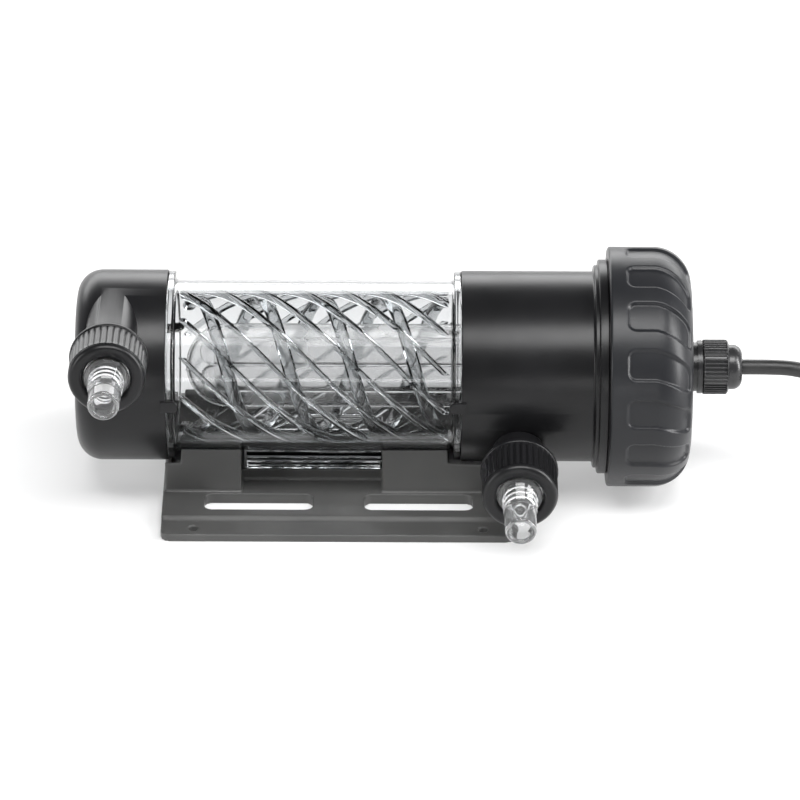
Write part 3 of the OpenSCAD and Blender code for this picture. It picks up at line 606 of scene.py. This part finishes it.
def ring_inside():
    """Points of (radius, x) from the end face, through the hole, and back to the open edge."""
    return [(RING_FACE_R, RING_X1), (RING_HOLE_R + 0.7, RING_X1), (RING_HOLE_R, RING_X1 - 0.7),
            (RING_HOLE_R, RING_SEAT_X), (RING_STEP_R - 4, RING_SEAT_X), (RING_STEP_R, RING_SEAT_X - 4),
            (RING_STEP_R, RING_STEP_X), (RING_BORE, RING_STEP_X), (RING_BORE, RING_X0 + 0.6),
            (RING_BORE + 0.6, RING_X0)]


def pad_sink(along, angle):
    """How far a point of the outside sinks, towards the axis and along X, in the nearest grip pad."""
    turn = SWIRL * min(1.0, max(0.0, (along - FLAT_END + 1) / (RING_ARC_R * 1.3))) ** 1.4
    period = TAU / PADS
    local = ((angle - turn) / period + 0.5) % 1 - 0.5
    beside = abs(local * period * RING_R) - PAD_HALF_W + PAD_CORNER
    beyond = max(PAD_START - along, along - PAD_END) + PAD_CORNER
    outside = math.hypot(max(beyond, 0), max(beside, 0)) + min(max(beyond, beside), 0) - PAD_CORNER
    sink = PAD_DEPTH * smooth_step((0.35 - outside) / 1.1)
    slope = max(0.0, (along - FLAT_END) / RING_ARC_R)
    return sink * math.cos(slope), sink * math.sin(slope)


def make_ring():
    """The locking ring: one outline turned about the tube's axis, with grip pads sunk into its outside."""
    segments = PADS * PAD_SEGMENTS
    bm = bmesh.new()
    rings = []
    for radius, x, along in ring_outside() + [(radius, x, None) for radius, x in ring_inside()]:
        ring = []
        for k in range(segments):
            angle = TAU * k / segments
            inward, back = (0, 0) if along is None else pad_sink(along, angle)
            ring.append(bm.verts.new(TUBE @ polar(radius - inward, angle, x - back)))
        rings.append(ring)
    skin(bm, rings, True)
    piece = finish_mesh("locking_ring_body", bm, "ring", "ring", 50)
    stands_for(piece, "locking_ring")


make_ring()


# ---------------------------------------------------------------- hose connections
INLET_X, INLET_OFF = -93.95, 28.5
OUTLET_X, OUTLET_OFF = 75.15, -17.6
PORT_TILT = 3.5
INLET = port_frame(INLET_X * MM, INLET_OFF * MM, PORT_TILT)
OUTLET = port_frame(OUTLET_X * MM, OUTLET_OFF * MM, -PORT_TILT)
NUT_S0, NUT_S1, NUT_R, NUT_BORE, NUT_MOUTH, NUT_SHOULDER = 52.5, 73, 15.8, 12.6, 9.9, 69.15
FLUTES = 36


def fluted_nut(name, place, body, node):
    """Union nut: a thin rear rim, rounded flutes that fade before the front, and a rolled front edge."""
    outline = [(NUT_BORE, NUT_S0), (NUT_R + 0.1, NUT_S0), (NUT_R + 0.4, NUT_S0 + 0.3),
               (NUT_R + 0.4, NUT_S0 + 1.5), (NUT_R + 0.1, NUT_S0 + 1.9), (NUT_R - 0.1, NUT_S0 + 2.0)]
    flute_end = NUT_S1 - 3.4
    for k in range(12):
        outline.append((NUT_R, NUT_S0 + 2.2 + (flute_end + 0.8 - NUT_S0 - 2.2) * k / 11))
    for k in range(8):
        a = math.pi / 2 * k / 7
        outline.append((NUT_R - 2.6 + 2.45 * math.cos(a), NUT_S1 - 2.6 + 2.6 * math.sin(a)))
    outline += [(NUT_MOUTH + 1.3, NUT_S1), (NUT_MOUTH + 0.4, NUT_S1 - 0.35), (NUT_MOUTH, NUT_S1 - 1),
                (NUT_MOUTH, NUT_SHOULDER), (NUT_BORE, NUT_SHOULDER)]

    def flute(radius, s, angle):
        if radius < NUT_R - 0.01 or s < NUT_S0 + 2.1 or s > flute_end + 1:
            return radius, s
        fade = smooth_step((s - NUT_S0 - 2.0) / 0.6) * smooth_step((flute_end + 0.8 - s) / 1.2)
        return radius - 0.75 * fade * (1 - abs(math.sin(FLUTES * angle / 2)) ** 0.8), s

    lathed(name, outline, place, "housing", body, [node], FLUTES * 10, flute, 45)


TAIL_END = 97
TAIL_BORE = 4.4


def clear_tail(name, place, body, node):
    """Clear hose tail: flange in the nut, hub, three ring steps, then a tapering tube with a thick lip."""
    outline = [(TAIL_BORE, 65.85), (12.0, 65.85), (12.3, 66.15), (12.3, 68.55), (12.0, 68.85), (9.3, 68.85),
               (9.3, 71.6), (8.9, 72.0), (7.4, 72.1)]
    for k in range(3):
        s = 74.2 + 3.2 * k
        top = 7.4 - 0.15 * k
        outline += [(top - 1.5, s), (top - 0.15, s + 0.25), (top + 0.02, s + 0.8), (top - 0.1, s + 1.3),
                    (top - 1.4, s + 2.3)]
    outline += [(6.75, 84.5), (6.6, 90), (6.45, TAIL_END - 1.2)]
    for k in range(7):
        a = math.pi * k / 6
        outline.append((5.45 + 1.0 * math.cos(a), TAIL_END - 1.0 + 1.0 * math.sin(a)))
    outline.append((TAIL_BORE, TAIL_END - 1.3))
    lathed(name, outline, place, "tail", body, [node], 96, None, 40)


fluted_nut("inlet_nut_body", INLET, "inlet_nut", "inlet_union_nut")
fluted_nut("outlet_nut_body", OUTLET, "outlet_nut", "outlet_union_nut")
clear_tail("inlet_tail_body", INLET, "inlet_tail", "inlet_hose_tail")
clear_tail("outlet_tail_body", OUTLET, "outlet_tail", "outlet_hose_tail")


# ---------------------------------------------------------------- cable gland
GLAND_X0, GLAND_X1, GLAND_TIP = 152.75, 163.55, 169.35
GLAND_RIBS = 40


def make_gland_nut():
    """Gland nut: fine axial ribs with six flats, a chamfer, and a glossy dome round the cable."""
    outline = [(8.9, GLAND_X0), (11.1, GLAND_X0), (11.5, GLAND_X0 + 0.4)]
    for k in range(9):
        outline.append((11.5, GLAND_X0 + 0.8 + (GLAND_X1 - 1.8 - GLAND_X0) * k / 8))
    outline += [(11.3, GLAND_X1 - 0.7), (10.4, GLAND_X1), (9.5, GLAND_X1 + 0.1), (9.4, GLAND_X1 + 0.6)]
    for k in range(10):
        a = math.pi / 2 * k / 9
        outline.append((5.4 + 4.0 * math.cos(a), GLAND_TIP - 4.0 + 4.0 * math.sin(a)))
    outline += [(4.6, GLAND_TIP - 0.1), (4.25, GLAND_TIP - 0.6), (4.25, 166.45), (8.9, 166.45)]

    def shape(radius, x, angle):
        if radius < 11.49 or not GLAND_X0 + 0.7 < x < GLAND_X1 - 0.9:
            return radius, x
        rib = max(0.0, math.cos(GLAND_RIBS * angle)) ** 0.5
        across = math.cos(((angle + math.pi / 6) % (math.pi / 3)) - math.pi / 6)
        flat = min(1.0, 0.952 / across) if across > 0.952 else 1.0
        return radius * flat - 0.55 * (1 - rib) * (1 if flat > 0.985 else 0.9), x

    lathed("gland_nut_body", outline, TUBE, "gland", "gland_cap", ["gland_nut"], GLAND_RIBS * 12, shape, 40)


make_gland_nut()


# ---------------------------------------------------------------- end housings
CAP_X0, CAP_X1, SHELL_R, SHELL_BORE = -109.75, -71.75, 40, 34.5
CAP_ROUND = 10.5
HOUSING_X0, NECK_X, NECK_END, NECK_R = 51.15, 112.15, 130.15, 43.4
SEAL_IN, SEAL_OUT, SEAL_DEEP = 36.05, 38.45, 2.3
CAP_END, CAP_TAPER = 4.5, 7
STEP_R, RIM_R = 42.6, 45
END_SEAL_IN, END_SEAL_OUT, END_SEAL_DEEP = 38.5, 41.7, 2.6
NECK_BORE, BULKHEAD_X0, BULKHEAD_X1 = 35.5, 92.15, 95.65
COLLAR_R, COLLAR_X, COLLAR_BORE, COLLAR_SEAT_X, SLEEVE_HOLE = 24, 102.65, 20.5, 98.15, 17.8
CENTRE = 0.01  # radius that closes a lathe at its axis
INSET = 0.05
SPIGOT_R, SPIGOT_BORE, SPIGOT_REACH = 10.7, 7.5, 64
TAB_ANGLES = (3.5, 183.5)


def ridge(x, r, height, width):
    """Rounded thread ridge, as outline points of (radius, x)."""
    points = []
    for k in range(7):
        a = math.pi * k / 6
        points.append((r + height * math.sin(a) ** 0.7, x + width * (1 - math.cos(a)) / 2))
    return points


def spigot_object(place, start):
    """A solid hose spigot with three thread ridges, from start outwards."""
    outline = [(CENTRE, start), (SPIGOT_R, start)]
    for i in range(3):
        outline += ridge(NUT_S0 + 2 + 3 * i, SPIGOT_R, 1.5, 1.6)
    outline += [(SPIGOT_R, SPIGOT_REACH - 0.5), (SPIGOT_R - 0.5, SPIGOT_REACH), (CENTRE, SPIGOT_REACH)]
    bm = bmesh.new()
    lathe(bm, outline, place, 96)
    return plain_object("spigot_blank", bm)


def bore_object(place, start):
    bm = bmesh.new()
    end = SPIGOT_REACH + 1
    lathe(bm, [(CENTRE, start), (SPIGOT_BORE, start), (SPIGOT_BORE, end), (CENTRE, end)], place, 72)
    return plain_object("bore_cutter", bm)


def snap_tab(face, way, angle):
    """Black tab with a rounded tip that hooks over the clear flange."""
    reach, half = FLANGE_T + 1.9, 2.45
    turns = [math.pi * k / 12 for k in range(13)]
    tip = [(reach - half + half * math.sin(a), half * math.cos(a)) for a in turns]
    flat = [(-2, half)] + tip + [(-2, -half)]
    bm = bmesh.new()
    turn = Matrix.Translation((face * MM, 0, AXIS_Z)) @ Matrix.Rotation(math.radians(-angle), 4, "X")
    rings = []
    for r, inset in ((39.62, 0), (40.7, 0), (41.05, 0.15), (41.2, 0.5)):
        ring = []
        for x, y in flat:
            along = way * (x if x < 0 else x * (1 - inset / reach))
            spot = Vector((along, -r, y * (1 - inset / half))) * MM
            ring.append(bm.verts.new(turn @ spot))
        rings.append(ring)
    skin(bm, rings, False)
    return plain_object("tab_blank", bm)


def finish_housing(piece, node):
    shade(piece, "housing", 32)
    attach(piece, "clarifier")
    stands_for(piece, node)


def make_inlet_cap():
    arc = [(SHELL_R - CAP_ROUND + CAP_ROUND * math.sin(math.pi / 2 * k / 16),
            CAP_X0 + CAP_ROUND - CAP_ROUND * math.cos(math.pi / 2 * k / 16)) for k in range(17)]
    floor_x, wall_x = CAP_X0 + CAP_END, CAP_X0 + CAP_END + CAP_TAPER
    outline = [(CENTRE, CAP_X0)] + arc
    outline += [(SHELL_R, CAP_X1 - 0.5), (SHELL_R - 0.15, CAP_X1 - 0.12), (SHELL_R - 0.5, CAP_X1),
                (SEAL_OUT, CAP_X1), (SEAL_OUT, CAP_X1 - SEAL_DEEP), (SEAL_IN, CAP_X1 - SEAL_DEEP),
                (SEAL_IN, CAP_X1), (SHELL_BORE, CAP_X1), (SHELL_BORE, wall_x),
                (SHELL_BORE - CAP_TAPER, floor_x), (CENTRE, floor_x)]
    bm = bmesh.new()
    lathe(bm, outline, TUBE, 240)
    cap = plain_object("inlet_cap_body", bm)
    spigot = spigot_object(INLET, 4)
    bm = bmesh.new()
    lathe(bm, [(CENTRE, floor_x + 0.1), (SHELL_BORE - CAP_TAPER, floor_x + 0.1), (SHELL_BORE - INSET, wall_x),
               (SHELL_BORE - INSET, CAP_X1 + 1), (CENTRE, CAP_X1 + 1)], TUBE, 240)
    boolean(spigot, plain_object("cavity", bm), "DIFFERENCE")
    boolean(cap, spigot, "UNION")
    boolean(cap, bore_object(INLET, 0), "DIFFERENCE")
    for angle in TAB_ANGLES:
        boolean(cap, snap_tab(CAP_X1, 1, angle), "UNION")
    finish_housing(cap, "inlet_end_cap")


def make_outlet_housing():
    outline = [(SHELL_BORE, HOUSING_X0), (SEAL_IN, HOUSING_X0), (SEAL_IN, HOUSING_X0 + SEAL_DEEP),
               (SEAL_OUT, HOUSING_X0 + SEAL_DEEP), (SEAL_OUT, HOUSING_X0), (SHELL_R - 0.5, HOUSING_X0),
               (SHELL_R - 0.15, HOUSING_X0 + 0.12), (SHELL_R, HOUSING_X0 + 0.5), (SHELL_R, NECK_X - 6.6)]
    outline += [(SHELL_R + 1.0 - math.cos(math.pi / 2 * k / 5), NECK_X - 6.6 + math.sin(math.pi / 2 * k / 5))
                for k in range(1, 6)]
    outline += [(STEP_R - 0.4, NECK_X - 5.6), (STEP_R, NECK_X - 5.2), (STEP_R, NECK_X - 4.0),
                (STEP_R + 0.3, NECK_X - 3.8), (RIM_R - 0.5, NECK_X - 3.8), (RIM_R - 0.1, NECK_X - 3.55),
                (RIM_R, NECK_X - 3.2), (RIM_R, NECK_X - 0.4), (RIM_R - 0.3, NECK_X), (NECK_R, NECK_X)]
    for i in range(4):
        outline += ridge(NECK_X + 2 + 4 * i, NECK_R, 0.9, 1.6)
    outline += [(NECK_R, NECK_END - 0.4), (NECK_R - 0.4, NECK_END), (END_SEAL_OUT, NECK_END),
                (END_SEAL_OUT, NECK_END - END_SEAL_DEEP), (END_SEAL_IN, NECK_END - END_SEAL_DEEP),
                (END_SEAL_IN, NECK_END), (NECK_BORE, NECK_END), (NECK_BORE, BULKHEAD_X1),
                (COLLAR_R, BULKHEAD_X1), (COLLAR_R, COLLAR_X - 0.4), (COLLAR_R - 0.4, COLLAR_X),
                (COLLAR_BORE, COLLAR_X), (COLLAR_BORE, COLLAR_SEAT_X), (SLEEVE_HOLE, COLLAR_SEAT_X),
                (SLEEVE_HOLE, BULKHEAD_X0), (SHELL_BORE, BULKHEAD_X0)]
    bm = bmesh.new()
    lathe(bm, outline, TUBE, 240)
    housing = plain_object("outlet_housing_body", bm)
    spigot = spigot_object(OUTLET, 4)
    bm = bmesh.new()
    end = BULKHEAD_X0 - INSET
    lathe(bm, [(CENTRE, HOUSING_X0 + 1), (SHELL_BORE - INSET, HOUSING_X0 + 1), (SHELL_BORE - INSET, end),
               (CENTRE, end)], TUBE, 240)
    boolean(spigot, plain_object("cavity", bm), "DIFFERENCE")
    boolean(housing, spigot, "UNION")
    boolean(housing, bore_object(OUTLET, 24), "DIFFERENCE")
    for angle in TAB_ANGLES:
        boolean(housing, snap_tab(HOUSING_X0, -1, angle), "UNION")
    finish_housing(housing, "outlet_housing")


make_inlet_cap()
make_outlet_housing()


# ---------------------------------------------------------------- bracket
def remoulded(name, node, voxel, look, body, smoothing):
    """A CAD node's shape with every edge and inner corner rounded as a moulding's are."""
    bm = bmesh.new()
    bm.from_mesh(frame["nodes"][node].data)
    bmesh.ops.remove_doubles(bm, verts=bm.verts[:], dist=1e-7)
    piece = plain_object(name, bm)
    remesh = piece.modifiers.new("remesh", "REMESH")
    remesh.mode = "VOXEL"
    remesh.voxel_size = voxel * MM
    remesh.adaptivity = 0
    smooth = piece.modifiers.new("smooth", "SMOOTH")
    smooth.factor = 0.5
    smooth.iterations = smoothing
    bpy.context.view_layer.update()
    graph = bpy.context.evaluated_depsgraph_get()
    mesh = bpy.data.meshes.new_from_object(piece.evaluated_get(graph))
    piece.modifiers.clear()
    piece.data = mesh
    shade(piece, look)
    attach(piece, body)
    stands_for(piece, node)
    return piece


BRACKET_VOXEL, BRACKET_PASSES = 0.5, 2
remoulded("bracket_body", "mounting_bracket", BRACKET_VOXEL, "bracket", "bracket", BRACKET_PASSES)


# ---------------------------------------------------------------- stage
FLOOR_SIZE, FLOOR_GLOW = 12, 0.32


def make_floor():
    """A pale floor that glows a little, so that it reads as white."""
    material, tree, shader = new_material("floor")
    drift = noise_node(tree, 2, 2)
    tree.links.new(ramp(tree, drift.outputs["Fac"], (0.60, 0.60, 0.60), (0.63, 0.63, 0.63)),
                   shader.inputs["Base Color"])
    shader.inputs["Roughness"].default_value = 0.9
    shader.inputs["Specular IOR Level"].default_value = 0.1
    shader.inputs["Emission Color"].default_value = (1, 1, 1, 1)
    shader.inputs["Emission Strength"].default_value = FLOOR_GLOW
    bpy.ops.mesh.primitive_plane_add(size=FLOOR_SIZE, location=(0, 2, -0.0002))
    floor = bpy.context.object
    floor.name = "floor"
    floor.data.materials.append(material)


def area_light(name, location, target, size, power, size_y):
    """A rectangular soft box that faces the target."""
    data = bpy.data.lights.new(name, "AREA")
    data.shape = "RECTANGLE"
    data.size = size
    data.size_y = size_y
    data.energy = power
    light = bpy.data.objects.new(name, data)
    light.location = location
    light.rotation_mode = "QUATERNION"
    light.rotation_quaternion = (Vector(target) - Vector(location)).to_track_quat("-Z", "Y")
    bpy.context.collection.objects.link(light)


WORLD_DARK, WORLD_WHITE = 0.07, 0.4


def make_world():
    """A studio that is bright low at the back and dim elsewhere, by the direction a ray leaves in."""
    world = bpy.data.worlds.new("studio")
    world.use_nodes = True
    tree = world.node_tree
    background = tree.nodes["Background"]
    background.inputs["Color"].default_value = (0.95, 0.97, 1.0, 1)
    way = add_node(tree, "ShaderNodeTexCoord")
    split = add_node(tree, "ShaderNodeSeparateXYZ")
    tree.links.new(way.outputs["Generated"], split.inputs[0])
    up = add_node(tree, "ShaderNodeMapRange")
    back = add_node(tree, "ShaderNodeMapRange")
    plan = ((up, "Z", 0.46, 0.54, 1.0, 0.0), (back, "Y", 0.0, 0.25, 0.0, 1.0))
    for node, output, low, high, start, end in plan:
        tree.links.new(split.outputs[output], node.inputs["Value"])
        for socket, value in (("From Min", low), ("From Max", high), ("To Min", start), ("To Max", end)):
            node.inputs[socket].default_value = value
    both = add_node(tree, "ShaderNodeMath", operation="MULTIPLY")
    tree.links.new(up.outputs["Result"], both.inputs[0])
    tree.links.new(back.outputs["Result"], both.inputs[1])
    level = add_node(tree, "ShaderNodeMath", operation="MULTIPLY_ADD")
    tree.links.new(both.outputs[0], level.inputs[0])
    level.inputs[1].default_value = WORLD_WHITE
    level.inputs[2].default_value = WORLD_DARK
    tree.links.new(level.outputs[0], background.inputs["Strength"])
    bpy.context.scene.world = world


def make_lights():
    area_light("back", (0, 2.6, 0.95), (0, 0, 0.05), 5.0, 75, 1.2)
    area_light("key", (0.1, -0.75, 1.85), (0, 0, 0.05), 1.8, 42, 0.75)
    area_light("left", (-1.5, -0.7, 0.45), (0, 0, 0.05), 0.35, 9, 0.8)
    area_light("right", (1.55, -0.28, 0.72), (0.1, 0, 0.05), 0.5, 36, 1.5)
    area_light("tail", (0.0, -1.2, 0.25), (0, 0, 0.04), 0.5, 1.2, 0.1)


make_world()
make_floor()
make_lights()

scene = bpy.context.scene
scene.view_settings.view_transform = "Standard"
scene.view_settings.look = "None"
scene.cycles.max_bounces = 32
scene.cycles.transmission_bounces = 28
scene.cycles.transparent_max_bounces = 16
scene.cycles.use_denoising = True
